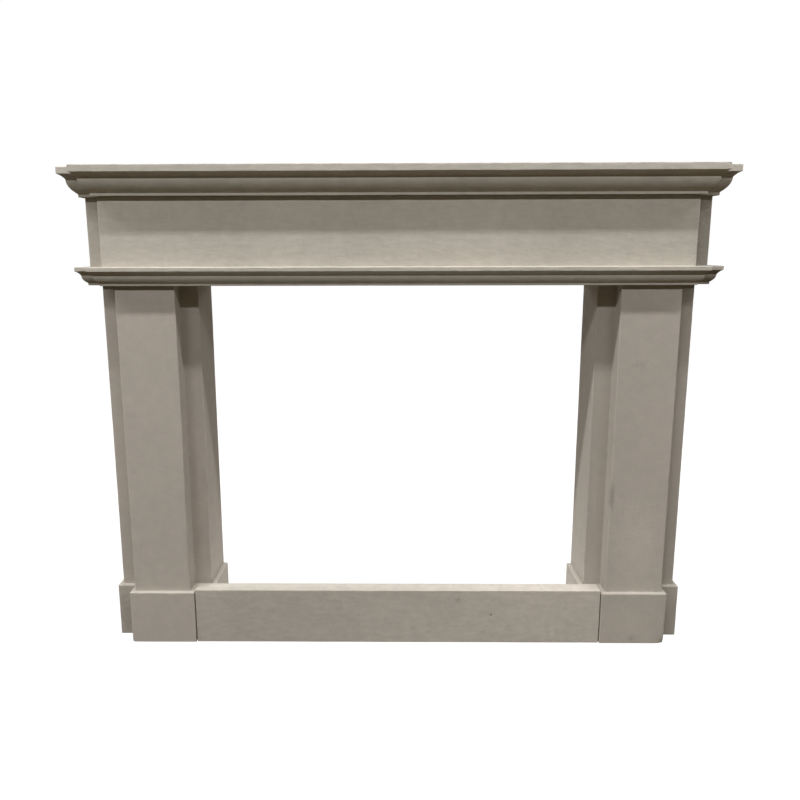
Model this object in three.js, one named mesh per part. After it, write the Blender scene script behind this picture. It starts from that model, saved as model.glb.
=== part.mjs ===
// Cast-stone fireplace mantelpiece with a breakfront plan: every piece has a wider
// back block against the wall and a narrower block that steps forward from it.
// Millimetres. +X runs along the shelf, +Y points back to the wall and +Z is up.
// The origin is on the floor, under the middle of the shelf.

import * as THREE from "three";

// Opening and legs
const OPENING_WIDTH = 1098;
const LEG_HEIGHT = 1032;
const LEG_WIDTH = 264;
const LEG_DEPTH = 156;
const PILASTER_INSET = 51;
const PILASTER_PROJECTION = 51;

// Plinth blocks cast on the feet of the legs
const PLINTH_HEIGHT = 154;
const PLINTH_PROJECTION = 12.5;

// Bar on the floor between the plinths
const BAR_HEIGHT = 162;
const BAR_THICKNESS = 48;
const BAR_END_JOINT = 2;

// Header: its frieze oversails the legs well at the ends and a little at the front
const HEADER_END_OVERSAIL = 28;
const HEADER_FRONT_OVERSAIL = 6;
const FRIEZE_HEIGHT = 183;

// Dry joint between pieces that rest on or against each other
const JOINT = 0.3;

// Small moulding at the foot of the header, member by member from below:
// how far each one steps out from the last, and how high it is
const LEDGE_FILLET_OUT = 6.5;
const LEDGE_FILLET_HEIGHT = 6.5;
const LEDGE_OVOLO_OUT = 12.5;
const LEDGE_OVOLO_HEIGHT = 20.5;
const LEDGE_COVE_OUT = 12.5;
const LEDGE_COVE_HEIGHT = 11.8;
const LEDGE_SLAB_HEIGHT = 11.2;

// Crown moulding under the shelf, in the same order
const CROWN_FILLET_OUT = 13;
const CROWN_FILLET_HEIGHT = 8;
const CROWN_OVOLO_OUT = 21.9;
const CROWN_OVOLO_HEIGHT = 36.8;
const CROWN_COVE_OUT = 16.9;
const CROWN_COVE_HEIGHT = 13;
const SHELF_SLAB_HEIGHT = 18.5;

// Curve controls, as shares of a member's own step out and height
const OVOLO_CONTROL = { out: 1, height: 0.43 };
const COVE_CONTROL = { out: 0.38, height: 0.7 };
const OVOLO_SEGMENTS = 10;
const COVE_SEGMENTS = 5;

// Warm grey cast stone, a little different from one casting to the next
const STONE_COLOURS = {
  leg: 0xa39b90,
  bar: 0xa79f94,
  header: 0xa69e93,
  shelf: 0xaaa297,
};
const STONE_ROUGHNESS = 0.9;

// A breakfront plan, given by its back block and by how the front block stands to it
const legPlan = {
  halfWidth: LEG_WIDTH / 2,
  depth: LEG_DEPTH,
  inset: PILASTER_INSET,
  forward: PILASTER_PROJECTION,
};
const friezePlan = {
  halfWidth: OPENING_WIDTH / 2 + LEG_WIDTH + HEADER_END_OVERSAIL,
  depth: LEG_DEPTH + HEADER_FRONT_OVERSAIL,
  inset: PILASTER_INSET,
  forward: PILASTER_PROJECTION,
};

// The outline of a plan pushed out by a projection on every side but the wall's.
// The wall is the line y = 0, and the outline runs anticlockwise seen from above.
function planOutline(plan, projection) {
  const backX = plan.halfWidth + projection;
  const frontX = backX - plan.inset;
  const backY = -(plan.depth + projection);
  const frontY = backY - plan.forward;
  return [
    new THREE.Vector2(-backX, 0),
    new THREE.Vector2(-backX, backY),
    new THREE.Vector2(-frontX, backY),
    new THREE.Vector2(-frontX, frontY),
    new THREE.Vector2(frontX, frontY),
    new THREE.Vector2(frontX, backY),
    new THREE.Vector2(backX, backY),
    new THREE.Vector2(backX, 0),
  ];
}

// A solid that carries a profile round a plan with mitred corners.
// The profile's points hold the projection in x and the height in y, from the bottom up.
function mouldedBlock(plan, profile) {
  const outlines = profile.map((point) => planOutline(plan, point.x));
  const sides = outlines[0].length;
  const positions = [];
  outlines.forEach((outline, level) => {
    outline.forEach((point) => positions.push(point.x, point.y, profile[level].y));
  });

  const indices = [];
  for (let level = 0; level + 1 < profile.length; level++) {
    for (let side = 0; side < sides; side++) {
      const next = (side + 1) % sides;
      const low = level * sides;
      const high = low + sides;
      indices.push(low + side, low + next, high + next);
      indices.push(low + side, high + next, high + side);
    }
  }
  const topStart = (profile.length - 1) * sides;
  for (const [a, b, c] of THREE.ShapeUtils.triangulateShape(outlines[0], [])) {
    indices.push(a, c, b);
  }
  for (const [a, b, c] of THREE.ShapeUtils.triangulateShape(outlines.at(-1), [])) {
    indices.push(topStart + a, topStart + b, topStart + c);
  }

  const shared = new THREE.BufferGeometry();
  shared.setAttribute("position", new THREE.Float32BufferAttribute(positions, 3));
  shared.setIndex(indices);
  const geometry = shared.toNonIndexed();
  geometry.computeVertexNormals();
  return geometry;
}

// One curved member of a moulding, from a start point out and up
function curvedMember(start, out, height, control, segments) {
  const bend = new THREE.Vector2(start.x + out * control.out, start.y + height * control.height);
  const end = new THREE.Vector2(start.x + out, start.y + height);
  return new THREE.QuadraticBezierCurve(start, bend, end).getPoints(segments);
}

// Fillet, ovolo, cove and plain slab, from the bottom up
function mouldingProfile(sizes) {
  const filletFoot = new THREE.Vector2(sizes.filletOut, 0);
  const filletTop = new THREE.Vector2(sizes.filletOut, sizes.filletHeight);
  const ovolo = curvedMember(
    filletTop, sizes.ovoloOut, sizes.ovoloHeight, OVOLO_CONTROL, OVOLO_SEGMENTS);
  const cove = curvedMember(
    ovolo.at(-1), sizes.coveOut, sizes.coveHeight, COVE_CONTROL, COVE_SEGMENTS);
  const slabFoot = cove.at(-1);
  const slabTop = new THREE.Vector2(slabFoot.x, slabFoot.y + sizes.slabHeight);
  return [filletFoot, ...ovolo, ...cove.slice(1), slabTop];
}

const ledgeProfile = mouldingProfile({
  filletOut: LEDGE_FILLET_OUT,
  filletHeight: LEDGE_FILLET_HEIGHT,
  ovoloOut: LEDGE_OVOLO_OUT,
  ovoloHeight: LEDGE_OVOLO_HEIGHT,
  coveOut: LEDGE_COVE_OUT,
  coveHeight: LEDGE_COVE_HEIGHT,
  slabHeight: LEDGE_SLAB_HEIGHT,
});

const crownProfile = mouldingProfile({
  filletOut: CROWN_FILLET_OUT,
  filletHeight: CROWN_FILLET_HEIGHT,
  ovoloOut: CROWN_OVOLO_OUT,
  ovoloHeight: CROWN_OVOLO_HEIGHT,
  coveOut: CROWN_COVE_OUT,
  coveHeight: CROWN_COVE_HEIGHT,
  slabHeight: SHELF_SLAB_HEIGHT,
});

function stone(colour) {
  return new THREE.MeshStandardMaterial({ color: colour, roughness: STONE_ROUGHNESS, metalness: 0 });
}

// A leg: plinth, a flat ledge on top of it, then the shaft
function makeLeg(name, centreX) {
  const profile = [
    new THREE.Vector2(PLINTH_PROJECTION, 0),
    new THREE.Vector2(PLINTH_PROJECTION, PLINTH_HEIGHT),
    new THREE.Vector2(0, PLINTH_HEIGHT),
    new THREE.Vector2(0, LEG_HEIGHT),
  ];
  const leg = new THREE.Mesh(mouldedBlock(legPlan, profile), stone(STONE_COLOURS.leg));
  leg.name = name;
  leg.position.x = centreX;
  return leg;
}

// The bar lies in the corners between the front plinth blocks and the back ones
function makeBaseBar() {
  const plinthFaceX = OPENING_WIDTH / 2 + PILASTER_INSET - PLINTH_PROJECTION;
  const length = 2 * (plinthFaceX - BAR_END_JOINT);
  const backFaceY = -(LEG_DEPTH + PLINTH_PROJECTION + JOINT);
  const bar = new THREE.Mesh(
    new THREE.BoxGeometry(length, BAR_THICKNESS, BAR_HEIGHT),
    stone(STONE_COLOURS.bar));
  bar.name = "base_bar";
  bar.position.set(0, backFaceY - BAR_THICKNESS / 2, BAR_HEIGHT / 2);
  return bar;
}

// The header lies on both legs: small moulding, ledge, then the plain frieze
function makeHeader() {
  const ledgeTop = ledgeProfile.at(-1).y;
  const profile = [
    ...ledgeProfile,
    new THREE.Vector2(0, ledgeTop),
    new THREE.Vector2(0, ledgeTop + FRIEZE_HEIGHT),
  ];
  const header = new THREE.Mesh(mouldedBlock(friezePlan, profile), stone(STONE_COLOURS.header));
  header.name = "header";
  header.position.z = LEG_HEIGHT + JOINT;
  return header;
}

// The shelf lies on the header, with the crown moulding cast under its slab
function makeShelf() {
  const shelf = new THREE.Mesh(mouldedBlock(friezePlan, crownProfile), stone(STONE_COLOURS.shelf));
  shelf.name = "shelf";
  shelf.position.z = LEG_HEIGHT + JOINT + ledgeProfile.at(-1).y + FRIEZE_HEIGHT + JOINT;
  return shelf;
}

const legCentreX = OPENING_WIDTH / 2 + LEG_WIDTH / 2;
const overallDepth = friezePlan.depth + friezePlan.forward + crownProfile.at(-1).x;

const mantelpiece = new THREE.Group();
mantelpiece.add(
  makeLeg("left_leg", -legCentreX),
  makeLeg("right_leg", legCentreX),
  makeBaseBar(),
  makeHeader(),
  makeShelf(),
);
mantelpiece.position.y = overallDepth / 2;

export default mantelpiece;
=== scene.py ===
import math

import bpy
import numpy as np
from mathutils import Matrix, Vector


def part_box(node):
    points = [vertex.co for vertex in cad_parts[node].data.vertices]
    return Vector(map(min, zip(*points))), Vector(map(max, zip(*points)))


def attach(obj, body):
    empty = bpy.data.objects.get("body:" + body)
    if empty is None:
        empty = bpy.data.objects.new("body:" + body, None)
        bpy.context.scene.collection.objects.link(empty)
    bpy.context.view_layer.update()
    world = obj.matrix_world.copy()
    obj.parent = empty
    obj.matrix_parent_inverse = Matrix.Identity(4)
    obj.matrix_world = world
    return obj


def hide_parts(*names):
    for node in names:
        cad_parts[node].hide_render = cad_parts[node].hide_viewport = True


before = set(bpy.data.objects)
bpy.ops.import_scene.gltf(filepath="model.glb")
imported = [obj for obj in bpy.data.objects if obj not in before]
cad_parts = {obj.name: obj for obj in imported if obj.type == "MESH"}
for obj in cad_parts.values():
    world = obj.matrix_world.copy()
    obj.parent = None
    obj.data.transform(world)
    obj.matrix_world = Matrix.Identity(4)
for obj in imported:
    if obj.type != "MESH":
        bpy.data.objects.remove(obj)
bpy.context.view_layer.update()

MM = 0.001

# Where the castings stand, from the frame. The wall is the plane behind them.
wall_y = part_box("header")[1].y / MM
leg_low, leg_high = (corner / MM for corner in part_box("left_leg"))
bar_low, bar_high = (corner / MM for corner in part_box("base_bar"))
header_low, header_high = (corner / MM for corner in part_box("header"))
shelf_low, shelf_high = (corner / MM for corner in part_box("shelf"))

# Millimetres, as the frame has them
STEP = 51
PLINTH_OUT = 12.5
PLINTH_HEIGHT = 154
LEDGE = {"fillet": (6.5, 6.5), "ovolo": (12.5, 20.5), "cove": (12.5, 11.8), "slab": 11.2}
CROWN = {"fillet": (13, 8), "ovolo": (21.9, 36.8), "cove": (16.9, 13), "slab": 18.5}
OVOLO_BEND = (1, 0.43)
COVE_BEND = (0.38, 0.7)

# Radii of the worn arrises and of the inner corners
ARRIS_RADIUS = 1.8
FINE_RADIUS = 1
MOULDING_RADIUS = 0.7
HOLLOW_RADIUS = 1.2

# How fine the mesh is: steps round a corner and in a curved member, the grid over flat faces,
# the rows close to each arris, and the least distance between two rows
ARC_STEPS = 5
OVOLO_STEPS = 14
COVE_STEPS = 8
GRID = 6
SUPPORT = 1.5
LEAST_GAP = 0.3

# How far the plan's foot and top faces run in from the arris before one face closes them
FOOT_RIM = 4
BAR_TOP_RIM = 6
SHELF_TOP_RIM = 8


def lattice_noise(points, cell, seed):
    """Smooth noise from 0 to 1, with features about one cell across."""
    scaled = points / cell
    lattice = np.floor(scaled)
    share = scaled - lattice
    share = share * share * (3 - 2 * share)
    lattice = lattice.astype(np.int64).astype(np.uint64)
    total = np.zeros(len(points))
    for corner in np.ndindex(2, 2, 2):
        place = lattice + np.array(corner, np.uint64)
        mixed = place[:, 0] * np.uint64(73856093)
        mixed ^= place[:, 1] * np.uint64(19349663)
        mixed ^= place[:, 2] * np.uint64(83492791)
        mixed ^= np.uint64(seed * 2654435761)
        mixed ^= mixed >> np.uint64(29)
        mixed *= np.uint64(0xBF58476D1CE4E5B9)
        mixed ^= mixed >> np.uint64(32)
        weight = np.prod(np.where(corner, share, 1 - share), axis=1)
        total += weight * (mixed & np.uint64(0xFFFF)) / 0xFFFF
    return total


def smooth_step(low, high, values):
    share = np.clip((values - low) / (high - low), 0, 1)
    return share * share * (3 - 2 * share)


def edge_shares(length, grid, extra=()):
    """Where points lie along a straight edge, as shares of it, with one close to each end."""
    count = max(1, round(length / grid))
    places = set(np.linspace(0, length, count + 1)[1:-1])
    if length > 4 * SUPPORT:
        places |= {SUPPORT, length - SUPPORT}
    places |= {place for place in extra if 0 < place < length}
    kept = []
    for place in sorted(places):
        if not kept or place - kept[-1] > LEAST_GAP:
            kept.append(place)
    return np.array(kept) / length


def corner_arc(here, before, after, radius):
    """Points round a corner, and how much of an outer arris each one is."""
    centre = here - before * radius + after * radius
    outer = before[0] * after[1] - before[1] * after[0] > 0
    points, arris = [], []
    for turn in np.linspace(0, math.pi / 2, ARC_STEPS + 1):
        points.append(centre + radius * (before * math.sin(turn) - after * math.cos(turn)))
        arris.append(math.sin(2 * turn) * 0.6 + 0.4 if outer else 0)
    return points, arris


class Plan:
    """An outline of square corners that can be pushed out. Against the wall it is left open."""

    def __init__(self, corners, radii, against_wall, extra=None):
        self.corners = np.array(corners, float)
        self.radii = radii
        self.against_wall = against_wall
        self.along = np.roll(self.corners, -1, axis=0) - self.corners
        lengths = np.linalg.norm(self.along, axis=1)
        self.along /= lengths[:, None]
        normals = np.stack([self.along[:, 1], -self.along[:, 0]], axis=1)
        if against_wall:
            normals[-1] = 0
            lengths = lengths[:-1]
        self.offsets = normals + np.roll(normals, 1, axis=0)
        extra = extra or {}
        self.shares = [
            edge_shares(length, GRID, extra.get(i, ())) for i, length in enumerate(lengths)]

    def ring(self, projection):
        corners = self.corners + projection * self.offsets
        points, arris = [], []
        for i, here in enumerate(corners):
            radius = self.radii[i]
            if radius:
                arc, arc_arris = corner_arc(here, self.along[i - 1], self.along[i], radius)
                points += arc
                arris += arc_arris
            else:
                points.append(here)
                arris.append(0)
            if i < len(self.shares):
                follow = (i + 1) % len(corners)
                start = here + self.along[i] * radius
                end = corners[follow] - self.along[i] * self.radii[follow]
                points += [start + (end - start) * share for share in self.shares[i]]
                arris += [0] * len(self.shares[i])
        return np.array(points), np.array(arris)


def breakfront(low_x, high_x, front_y):
    """A back block against the wall with a narrower block a step ahead of it."""
    back_y = front_y + STEP
    corners = [
        (low_x, wall_y), (low_x, back_y), (low_x + STEP, back_y), (low_x + STEP, front_y),
        (high_x - STEP, front_y), (high_x - STEP, back_y), (high_x, back_y), (high_x, wall_y)]
    half = [0, ARRIS_RADIUS, HOLLOW_RADIUS, ARRIS_RADIUS]
    return Plan(corners, half + half[::-1], True)


def bend(start, out, height, control, count):
    """A curved member of a moulding, without its start point."""
    x, z = start
    middle = (x + out * control[0], z + height * control[1])
    end = (x + out, z + height)
    points = []
    for t in np.linspace(0, 1, count + 1)[1:]:
        a, b, c = (1 - t) ** 2, 2 * t * (1 - t), t * t
        points.append((a * x + b * middle[0] + c * end[0], a * z + b * middle[1] + c * end[1]))
    return points


def moulding(foot_z, sizes):
    """Fillet, ovolo, cove and slab as (projection, height, corner radius), from the bottom up."""
    out, height = sizes["fillet"]
    points = [
        (out - FOOT_RIM, foot_z, 0), (out, foot_z, FINE_RADIUS),
        (out, foot_z + height, MOULDING_RADIUS)]
    place = (out, foot_z + height)
    for point in bend(place, *sizes["ovolo"], OVOLO_BEND, OVOLO_STEPS):
        points.append((*point, 0))
        place = point
    for point in bend(place, *sizes["cove"], COVE_BEND, COVE_STEPS):
        points.append((*point, 0))
        place = point
    points[-1] = (*place, MOULDING_RADIUS)
    points.append((place[0], place[1] + sizes["slab"], ARRIS_RADIUS))
    return points


def round_profile(points, extra=()):
    """A profile's levels as (projection, height, arris), corners rounded, long runs divided."""
    places = np.array([point[:2] for point in points], float)
    levels = [(*places[0], 0)]
    for i in range(1, len(points)):
        run = places[i] - places[i - 1]
        length = np.linalg.norm(run)
        along = run / length
        radius_here = points[i][2]
        start = places[i - 1] + along * points[i - 1][2]
        end = places[i] - along * radius_here
        clear = np.linalg.norm(end - start)
        if clear > 2 * SUPPORT and min(abs(run)) < 1e-6:
            marks = [mark - start[1] for mark in extra] if run[0] == 0 else []
            for share in edge_shares(clear, GRID, marks):
                levels.append((*(start + (end - start) * share), 0))
        if radius_here > 0 and i + 1 < len(points):
            follow = places[i + 1] - places[i]
            follow /= np.linalg.norm(follow)
            outer = along[0] * follow[1] - along[1] * follow[0] > 0
            leave = places[i] + follow * radius_here
            for t in np.linspace(0, 1, ARC_STEPS + 1):
                point = (1 - t) ** 2 * end + 2 * t * (1 - t) * places[i] + t * t * leave
                arris = math.sin(math.pi * t) * 0.6 + 0.4 if outer else 0
                levels.append((*point, arris * min(1, radius_here / ARRIS_RADIUS)))
        else:
            levels.append((*places[i], 0))
    return levels


def casting(name, plan, profile, seed, extra=(), knocks=()):
    """A closed mesh that carries a profile round a plan, with worn arrises and uneven faces."""
    levels = round_profile(profile, extra)
    rings = [plan.ring(level[0]) for level in levels]
    count = len(rings[0][0])
    points = np.concatenate([
        np.column_stack([ring, np.full(count, level[1])])
        for (ring, _), level in zip(rings, levels)])
    arris = np.concatenate([np.maximum(ring_arris, level[2])
                            for (_, ring_arris), level in zip(rings, levels)])
    faces = []
    for level in range(len(levels) - 1):
        low, high = level * count, (level + 1) * count
        for i in range(count - 1 if plan.against_wall else count):
            j = (i + 1) % count
            faces.append((low + i, low + j, high + j, high + i))
    sides = len(faces)
    last = (len(levels) - 1) * count
    faces.append(tuple(reversed(range(count))))
    faces.append(tuple(range(last, last + count)))
    if plan.against_wall:
        left = range(0, last + 1, count)
        faces.append((*left, *(i + count - 1 for i in reversed(left))))

    mesh = bpy.data.meshes.new(name)
    mesh.from_pydata(points * MM, [], faces)
    mesh.update()
    normals = np.zeros(len(points) * 3, np.float32)
    mesh.vertices.foreach_get("normal", normals)
    normals = normals.reshape(-1, 3)
    if plan.against_wall:
        normals[points[:, 1] > wall_y - 0.01, 1] = 0
    points = points - normals * wear(points, arris, seed, knocks)[:, None]
    mesh.vertices.foreach_set("co", (points * MM).astype(np.float32).ravel())
    smooth = np.ones(len(faces), bool)
    smooth[sides:] = False
    mesh.polygons.foreach_set("use_smooth", smooth)
    # How much of an arris each point is goes to the material, which paints a highlight along the
    # arrises
    painted_arris_highlight = mesh.attributes.new("painted_arris_highlight", "FLOAT", "POINT")
    painted_arris_highlight.data.foreach_set("value", arris.astype(np.float32))
    mesh.update()
    piece = bpy.data.objects.new(name, mesh)
    bpy.context.scene.collection.objects.link(piece)
    return piece


# How deep the faces' unevenness and the arrises' wear go, and the size of each pattern
BROAD_DEPTH, BROAD_CELL = 0.35, 130
FINE_DEPTH, FINE_CELL = 0.12, 34
RUB_DEPTH, RUB_CELL = 0.35, 46
CHIP_DEPTH, CHIP_CELL = 0.4, 11


def wear(points, arris, seed, knocks):
    """How far each point lies inside the true form, in millimetres."""
    depth = BROAD_DEPTH * lattice_noise(points, BROAD_CELL, seed)
    depth += FINE_DEPTH * lattice_noise(points, FINE_CELL, seed + 1)
    soft = smooth_step(0.45, 0.8, lattice_noise(points, RUB_CELL, seed + 2))
    chips = smooth_step(0.66, 0.86, lattice_noise(points, CHIP_CELL, seed + 3))
    depth += arris * (RUB_DEPTH * soft + CHIP_DEPTH * chips)
    for place, reach, deep in knocks:
        away = np.linalg.norm((points - place) / reach, axis=1)
        depth += deep * np.exp(-1.5 * away ** 2)
    return depth


class Nodes:
    """A small helper that adds shader nodes and joins them."""

    def __init__(self, tree):
        self.tree = tree

    def add(self, kind, inputs=None, **settings):
        node = self.tree.nodes.new(kind)
        for key, value in settings.items():
            setattr(node, key, value)
        for key, value in (inputs or {}).items():
            if isinstance(value, bpy.types.NodeSocket):
                self.tree.links.new(value, node.inputs[key])
            else:
                node.inputs[key].default_value = value
        return node

    def noise(self, coords, scale, detail, rough=0.5):
        node = self.add("ShaderNodeTexNoise", {
            "Vector": coords, "Scale": scale, "Detail": detail, "Roughness": rough})
        return node.outputs["Fac"]

    def spread(self, value, low, high, to_low, to_high):
        node = self.add("ShaderNodeMapRange", {
            "Value": value, "From Min": low, "From Max": high, "To Min": to_low, "To Max": to_high})
        return node.outputs["Result"]

    def math(self, operation, a, b):
        return self.add("ShaderNodeMath", {0: a, 1: b}, operation=operation).outputs[0]


# How much of the clouding each colour channel takes
CLOUD_TINT = (1, 0.86, 0.9)


def cast_stone(name, colour, offset, clouding, mottling, drawn, ripple, marks=()):
    """Fine-grained cast stone: cloudy tone, speckled grain, drawn skin, air holes with painted
    shade, marks (stains, painted shade and painted light) and a painted highlight along the
    arrises.

    clouding, mottling and drawn are shares of the tone, from the largest pattern to the finest.
    drawn and ripple belong to the same level streaks: one is their tone, the other their relief.
    """
    material = bpy.data.materials.new(name)
    material.use_nodes = True
    shader = material.node_tree.nodes["Principled BSDF"]
    shader.inputs["Roughness"].default_value = 0.9
    shader.inputs["Specular IOR Level"].default_value = 0.3
    nodes = Nodes(material.node_tree)
    place_coords = nodes.add("ShaderNodeTexCoord").outputs["Object"]
    coords = nodes.add("ShaderNodeMapping", {"Vector": place_coords, "Location": offset}).outputs[0]

    clouds = nodes.spread(nodes.noise(coords, scale=3.1, detail=3), 0.3, 0.7, 0, 1)
    tint = nodes.add("ShaderNodeValToRGB", {"Fac": clouds})
    for element, shift in zip(tint.color_ramp.elements, (-clouding, clouding)):
        element.color = (*[c * (1 + shift * k) for c, k in zip(colour, CLOUD_TINT)], 1)
    patches = nodes.noise(coords, scale=34, detail=4, rough=0.65)
    mottle = nodes.spread(patches, 0.3, 0.7, 1 - mottling, 1 + mottling)
    speckle = nodes.noise(coords, scale=480, detail=2, rough=0.6)
    grain = nodes.spread(speckle, 0.25, 0.75, 0.94, 1.06)
    tone = nodes.math("MULTIPLY", mottle, grain)
    along = nodes.add("ShaderNodeMapping", {"Vector": coords, "Scale": (30, 30, 95)}).outputs[0]
    skin = nodes.noise(along, scale=1, detail=3, rough=0.55)
    tone = nodes.math("MULTIPLY", tone, nodes.spread(skin, 0.3, 0.7, 1 - drawn, 1 + drawn))

    # Painted highlight: the tone is up to 9 per cent lighter along the rounded arrises
    painted_arris_highlight = nodes.add("ShaderNodeAttribute", attribute_name="painted_arris_highlight").outputs["Fac"]
    tone = nodes.math("MULTIPLY", tone, nodes.spread(painted_arris_highlight, 0, 1, 1, 1.09))

    # Marks with ragged edges: stains, painted shade and painted light
    ragged = nodes.spread(nodes.noise(coords, scale=160, detail=3), 0.3, 0.7, -0.35, 0.35)
    for place, reach, amount in marks:
        local = nodes.add("ShaderNodeMapping", {
            "Vector": place_coords, "Location": [-p / r for p, r in zip(place, reach)],
            "Scale": [1000 / r for r in reach]}).outputs[0]
        away = nodes.add("ShaderNodeVectorMath", {0: local}, operation="LENGTH").outputs["Value"]
        edge = nodes.math("ADD", away, ragged)
        tone = nodes.math("MULTIPLY", tone, nodes.spread(edge, 0.25, 1.1, 1 - amount, 1))

    # Air holes, in about a third of the cells, painted darker: painted shade inside the holes
    cells = nodes.add("ShaderNodeTexVoronoi", {"Vector": coords, "Scale": 62.0})
    chosen = nodes.add("ShaderNodeSeparateColor", {"Color": cells.outputs["Color"]})
    reach = nodes.spread(chosen.outputs[0], 0.7, 1, 0, 0.075)
    gone = nodes.math("SUBTRACT", cells.outputs["Distance"], reach)
    solid = nodes.spread(gone, -0.02, 0.0, 0, 1)
    tone = nodes.math("MULTIPLY", tone, nodes.spread(solid, 0, 1, 0.55, 1))
    coloured = nodes.add("ShaderNodeVectorMath", {0: tint.outputs["Color"], "Scale": tone},
                         operation="SCALE")
    material.node_tree.links.new(coloured.outputs[0], shader.inputs["Base Color"])

    relief = nodes.noise(coords, scale=75, detail=4, rough=0.6)
    fine_relief = nodes.noise(coords, scale=420, detail=2)
    relief = nodes.math("ADD", relief, nodes.math("MULTIPLY", fine_relief, 0.35))
    relief = nodes.math("ADD", relief, nodes.math("MULTIPLY", solid, 0.8))
    relief = nodes.math("ADD", relief, nodes.math("MULTIPLY", skin, ripple))
    bump = nodes.add("ShaderNodeBump", {"Strength": 0.35, "Distance": 0.0009, "Height": relief})
    material.node_tree.links.new(bump.outputs["Normal"], shader.inputs["Normal"])
    return material


def dress(piece, node, material):
    piece.data.materials.append(material)
    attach(piece, "root")
    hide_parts(node)


# Marks darken above zero and lighten below: place, reach and strength. Some are stains; the others
# are painted shade and painted light, each named where it stands.
# Knocks and pits are hollows: place, reach and depth. All in millimetres but the strength.
pilaster_y = leg_low.y + PLINTH_OUT
LEG_STAINS_PAINTED_SHADE_AND_LIGHT = [
    ((680.6, leg_low.y, 17), (13, 20, 9), 0.16), ((605, pilaster_y, 440), (9, 20, 45), 0.27),
    # Painted shade: a darker line down the left pilaster's inner arris, in and above its groove
    ((-600, pilaster_y, 400), (4, 4, 200), 0.15),
    # Painted light: the left pilaster's inner side lighter low down
    ((-600, pilaster_y + 25, 200), (8, 26, 120), -0.1),
    # Painted shade low on the left leg's outer back block; painted light across the right plinth's
    # front
    ((-805, pilaster_y + 40, 70), (34, 24, 95), 0.22), ((680, leg_low.y, 70), (100, 20, 90), -0.07),
    # Painted light: the right pilaster's front lighter low down
    ((690, pilaster_y, 260), (85, 10, 190), -0.12),
    ((663, pilaster_y, 817), (26, 20, 15), 0.09), ((-740, pilaster_y, 675), (20, 20, 14), 0.07)]
BAR_STAINS_PAINTED_SHADE_AND_LIGHT = [
    # Painted shade over the bar's left half and painted light over its right half
    ((-330, bar_low.y, 80), (560, 60, 300), 0.07), ((400, bar_low.y, 80), (440, 60, 300), -0.06),
    # Painted shade in the two pits
    ((271.2, bar_low.y, 85.4), (3.4, 10, 5), 0.36), ((-424.6, bar_low.y, 102.2), (6, 10, 6), 0.1),
    ((175.7, bar_low.y, 133), (8, 10, 6), 0.2), ((277, bar_low.y, 131), (10, 10, 7), 0.13),
    ((46, bar_low.y, 48), (9, 10, 8), 0.15), ((176, bar_low.y, 52), (24, 10, 3.5), 0.1),
    ((250, bar_low.y, 33), (9, 10, 7), 0.12), ((525, bar_low.y, 53), (9, 10, 6), 0.13),
    ((450, bar_low.y, 38), (9, 10, 24), -0.13)]
# Painted shade over the header's right end, where the lights don't fall
HEADER_PAINTED_SHADE = [((845, header_low.y + 75, 1120), (75, 60, 150), 0.26)]
BAR_PITS = [((271.2, bar_low.y, 85.4), 2.4, 1.6), ((-424.6, bar_low.y, 102.2), 2.6, 0.5)]
LEG_KNOCKS = {
    "left_leg": [((-774.5, leg_low.y, 0), 7, 1.2), ((-600, pilaster_y, 250), (5, 5, 140), 1.6)],
    "right_leg": [((774.5, leg_low.y, 0), 12, 5), ((774.5, leg_low.y, 30), (6, 6, 40), 1.5),
                  ((600, pilaster_y, 440), (4, 4, 30), 1.4)]}

leg_stone = cast_stone(
    "leg_stone", (0.452, 0.414, 0.366), (0.3, 1.7, 0.4),
    clouding=0.035, mottling=0.045, drawn=0.008, ripple=0.3, marks=LEG_STAINS_PAINTED_SHADE_AND_LIGHT)
bar_stone = cast_stone(
    "bar_stone", (0.488, 0.451, 0.399), (4.1, 0.2, 2.6),
    clouding=0.05, mottling=0.06, drawn=0.055, ripple=1, marks=BAR_STAINS_PAINTED_SHADE_AND_LIGHT)
header_stone = cast_stone(
    "header_stone", (0.503, 0.472, 0.416), (7.7, 3.9, 0.1),
    clouding=0.055, mottling=0.05, drawn=0.036, ripple=2.5, marks=HEADER_PAINTED_SHADE)
shelf_stone = cast_stone(
    "shelf_stone", (0.535, 0.5, 0.444), (2.5, 8.3, 5.2),
    clouding=0.05, mottling=0.06, drawn=0.04, ripple=2.2)

leg_profile = [
    (PLINTH_OUT - FOOT_RIM, 0, 0), (PLINTH_OUT, 0, FINE_RADIUS),
    (PLINTH_OUT, PLINTH_HEIGHT, ARRIS_RADIUS), (0, PLINTH_HEIGHT, HOLLOW_RADIUS),
    (0, leg_high.z, FINE_RADIUS), (-FOOT_RIM, leg_high.z, 0)]
for node, seed in (("left_leg", 11), ("right_leg", 47)):
    low, high = (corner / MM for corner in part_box(node))
    plan = breakfront(low.x + PLINTH_OUT, high.x - PLINTH_OUT, low.y + PLINTH_OUT)
    piece = casting(f"{node}_casting", plan, leg_profile, seed, knocks=LEG_KNOCKS[node])
    dress(piece, node, leg_stone)

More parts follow.
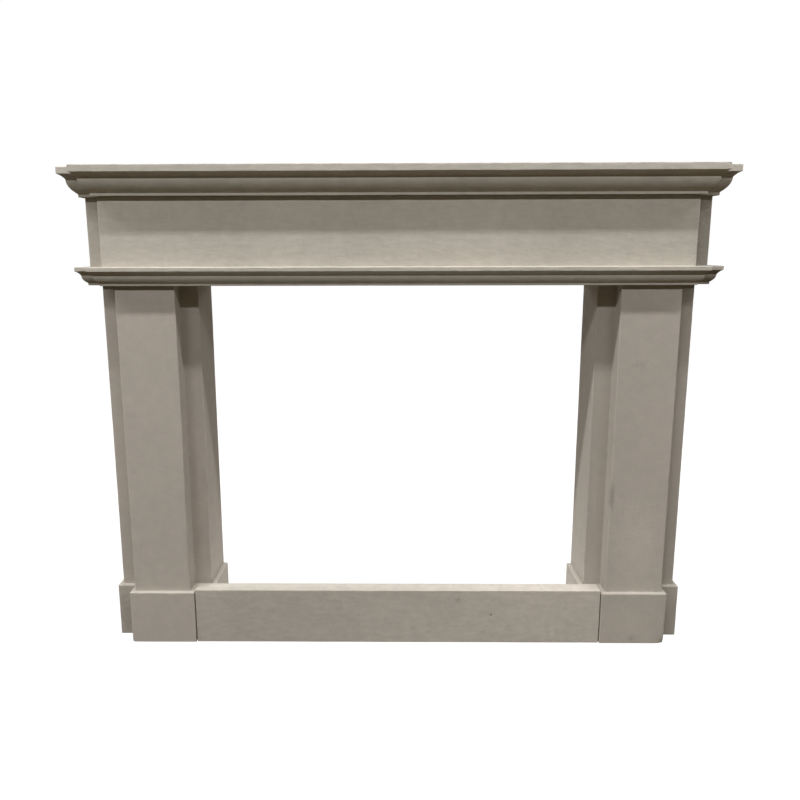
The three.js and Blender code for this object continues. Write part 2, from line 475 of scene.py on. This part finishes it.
# The bar's mesh has closer rows round its pits
around = np.arange(-5, 5.1, 0.9)
close_x = [place[0] - bar_low.x + shift for place, _, _ in BAR_PITS for shift in around]
close_z = [place[2] + shift for place, _, _ in BAR_PITS for shift in around]
bar_corners = [
    (bar_low.x, bar_high.y), (bar_low.x, bar_low.y),
    (bar_high.x, bar_low.y), (bar_high.x, bar_high.y)]
FRONT_EDGE = 1
bar_plan = Plan(bar_corners, [ARRIS_RADIUS] * 4, False, {FRONT_EDGE: close_x})
bar_profile = [
    (-FOOT_RIM, 0, 0), (0, 0, FINE_RADIUS),
    (0, bar_high.z, ARRIS_RADIUS), (-BAR_TOP_RIM, bar_high.z, 0)]
bar = casting("base_bar_casting", bar_plan, bar_profile, 83, close_z, BAR_PITS)
dress(bar, "base_bar", bar_stone)

# Header and shelf go round one plan, the frieze's, and the crown moulding stands out from it
crown_out = CROWN["fillet"][0] + CROWN["ovolo"][0] + CROWN["cove"][0]
frieze = breakfront(shelf_low.x + crown_out, shelf_high.x - crown_out, shelf_low.y + crown_out)
ledge = moulding(header_low.z, LEDGE)
header_profile = ledge + [
    (0, ledge[-1][1], HOLLOW_RADIUS), (0, header_high.z, FINE_RADIUS),
    (-FOOT_RIM, header_high.z, 0)]
header = casting("header_casting", frieze, header_profile, 131)
dress(header, "header", header_stone)
shelf_profile = moulding(shelf_low.z, CROWN)
shelf_profile.append((crown_out - SHELF_TOP_RIM, shelf_high.z, 0))
shelf = casting("shelf_casting", frieze, shelf_profile, 197)
dress(shelf, "shelf", shelf_stone)

# The floor's flat part ends at this radius, in metres, and rises by as much to the dome
FLAT_RADIUS = 9


def studio_floor():
    """A flat pale floor that rises far away all round into a pale dome."""
    rise, dome = FLAT_RADIUS, 2 * FLAT_RADIUS
    profile = [(radius, 0) for radius in (0, 2, 5, FLAT_RADIUS)]
    profile += [(FLAT_RADIUS + rise * math.sin(a), rise - rise * math.cos(a))
                for a in np.linspace(0.1, math.pi / 2, 10)]
    profile += [(dome * math.cos(a), rise + rise * math.sin(a))
                for a in np.linspace(0.15, math.pi / 2, 9)]
    turns = 64
    angles = [2 * math.pi * k / turns for k in range(turns)]
    points = [(0, 0, 0)]
    for radius, height in profile[1:-1]:
        points += [(radius * math.cos(a), radius * math.sin(a), height) for a in angles]
    points.append((0, 0, profile[-1][1]))
    top = len(points) - 1
    faces = [(0, 1 + k, 1 + (k + 1) % turns) for k in range(turns)]
    for level in range(len(profile) - 3):
        low, high = 1 + level * turns, 1 + (level + 1) * turns
        faces += [(low + k, high + k, high + (k + 1) % turns, low + (k + 1) % turns)
                  for k in range(turns)]
    last = 1 + (len(profile) - 3) * turns
    faces += [(last + k, top, last + (k + 1) % turns) for k in range(turns)]
    mesh = bpy.data.meshes.new("studio_floor")
    mesh.from_pydata(points, [], faces)
    mesh.polygons.foreach_set("use_smooth", np.ones(len(faces), bool))
    mesh.update()
    floor = bpy.data.objects.new("studio_floor", mesh)
    bpy.context.scene.collection.objects.link(floor)
    pale = bpy.data.materials.new("pale_floor")
    pale.use_nodes = True
    shader = pale.node_tree.nodes["Principled BSDF"]
    shader.inputs["Base Color"].default_value = (0.1, 0.1, 0.1, 1)
    shader.inputs["Roughness"].default_value = 1
    shader.inputs["Specular IOR Level"].default_value = 0
    shader.inputs["Emission Color"].default_value = (1, 1, 1, 1)
    shader.inputs["Emission Strength"].default_value = 0.98
    mesh.materials.append(pale)
    floor.visible_diffuse = False
    floor.visible_glossy = False
    floor.visible_shadow = False


def strip_light(name, place, aim, length, width, power):
    """A soft strip, level from end to end, that faces the aim."""
    light = bpy.data.lights.new(name, "AREA")
    light.shape = "RECTANGLE"
    light.size = length
    light.size_y = width
    light.energy = power
    lamp = bpy.data.objects.new(name, light)
    bpy.context.scene.collection.objects.link(lamp)
    back = (Vector(place) - Vector(aim)).normalized()
    across = Vector((0, 0, 1)).cross(back)
    across = across.normalized() if across.length > 0.01 else Vector((1, 0, 0))
    up = back.cross(across)
    lamp.matrix_world = Matrix.Translation(place) @ Matrix((across, up, back)).transposed().to_4x4()
    lamp.visible_camera = False


studio_floor()

# Two rows of strips, a steep one close to the wall and a low one far in front, and fainter
# light from behind and off the floor inside the opening
STEEP_ROW = (-2.11, 7.2, 0.24)
FRONT_ROW = (-7.5, 8.3, 0.3)
AIM_HEIGHT = 0.8
for name, row, x, length, power in (
        ("steep_left", STEEP_ROW, -6, 5, 455),
        ("steep_middle", STEEP_ROW, 0.1, 3.4, 222),
        ("steep_right", STEEP_ROW, 6, 2, 195),
        ("front_far_left", FRONT_ROW, -9, 2, 400),
        ("front_left", FRONT_ROW, -4, 3, 205),
        ("front_right", FRONT_ROW, 3.2, 4, 160),
        ("front_far_right", FRONT_ROW, 9, 2, 262)):
    y, z, width = row
    strip_light(name, (x, y, z), (x, 0, AIM_HEIGHT), length, width, power)
strip_light("behind", place=(0, 4.5, 2.6), aim=(0, 0, 0.7), length=2.5, width=2, power=110)
strip_light(
    "floor_glow", place=(0, 0.08, 0.01), aim=(0, 0.08, 1), length=0.95, width=0.3, power=1.45)

world = bpy.data.worlds.new("studio_air")
world.use_nodes = True
background = world.node_tree.nodes["Background"]
background.inputs["Color"].default_value = (0.097, 0.077, 0.049, 1)
background.inputs["Strength"].default_value = 1
bpy.context.scene.world = world
bpy.context.scene.view_settings.view_transform = "Standard"

# Fitted to the photograph's edges: metres, degrees and pixels of the square frame
FRAME_PIXELS = 800
SENSOR_WIDTH = 36
CAMERA_PLACE = (-0.01183, wall_y * MM - 2.2659, 1.12414)
FOCAL_PIXELS = 761.12
CENTRE_PIXELS = (384.25, 399.1)
PITCH, YAW, ROLL = math.radians(11.04), math.radians(0.67), math.radians(-0.15)

camera = bpy.data.cameras.new("camera")
camera.sensor_width = SENSOR_WIDTH
camera.lens = FOCAL_PIXELS * SENSOR_WIDTH / FRAME_PIXELS
camera.shift_x = (FRAME_PIXELS / 2 - CENTRE_PIXELS[0]) / FRAME_PIXELS
camera.shift_y = (CENTRE_PIXELS[1] - FRAME_PIXELS / 2) / FRAME_PIXELS
eye = bpy.data.objects.new("camera", camera)
bpy.context.scene.collection.objects.link(eye)
turn = Matrix.Rotation(YAW, 3, "Z")
forward = turn @ Vector((0, math.cos(PITCH), -math.sin(PITCH)))
right = turn @ Vector((1, 0, 0))
down = turn @ Vector((0, -math.sin(PITCH), -math.cos(PITCH)))
across = math.cos(ROLL) * right - math.sin(ROLL) * down
below = math.sin(ROLL) * right + math.cos(ROLL) * down
axes = Matrix((across, -below, -forward)).transposed()
eye.matrix_world = Matrix.Translation(CAMERA_PLACE) @ axes.to_4x4()
bpy.context.scene.camera = eye
